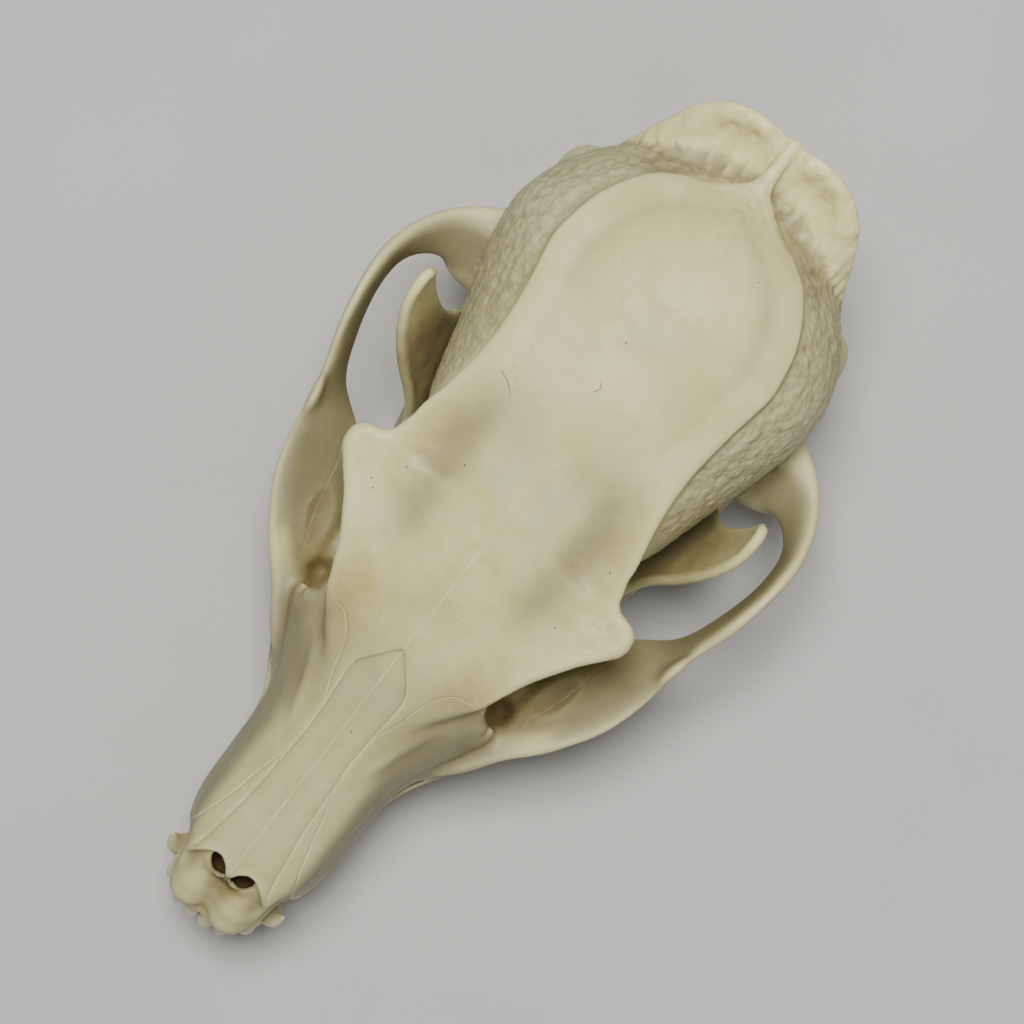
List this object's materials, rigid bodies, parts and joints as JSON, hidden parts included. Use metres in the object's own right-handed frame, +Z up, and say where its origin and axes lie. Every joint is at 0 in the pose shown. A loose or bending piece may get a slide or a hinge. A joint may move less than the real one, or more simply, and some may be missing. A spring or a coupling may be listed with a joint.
{
  "type": "gray fox skull",
  "caption": "Life-size skull of an adult gray fox with its lower jaw closed, resting on the edge of the jaw, as a still display model.",
  "frame": {"origin": "centre of the footprint of the bounding box, on the floor that the lower edge of the jaw rests on", "axes": "+Z up, +Y toward the back of the head, the nose points along -Y, +X toward the animal's left"},
  "size_m": [0.064, 0.1205, 0.0555],
  "materials": {
    "skull_bone": "clean dry bone, satin, faintly stained",
    "jaw_bone": "clean dry bone, satin, faintly stained",
    "tooth_enamel": "smooth glossy enamel"
  },
  "bodies": {
    "root": {"rostrum": "skull_bone", "braincase": "skull_bone", "occiput": "skull_bone", "zygomatic_arch_left": "skull_bone", "zygomatic_arch_right": "skull_bone", "auditory_bulla_left": "skull_bone", "auditory_bulla_right": "skull_bone", "mandible_left": "jaw_bone", "mandible_right": "jaw_bone"}
  },
  "joints": []
}
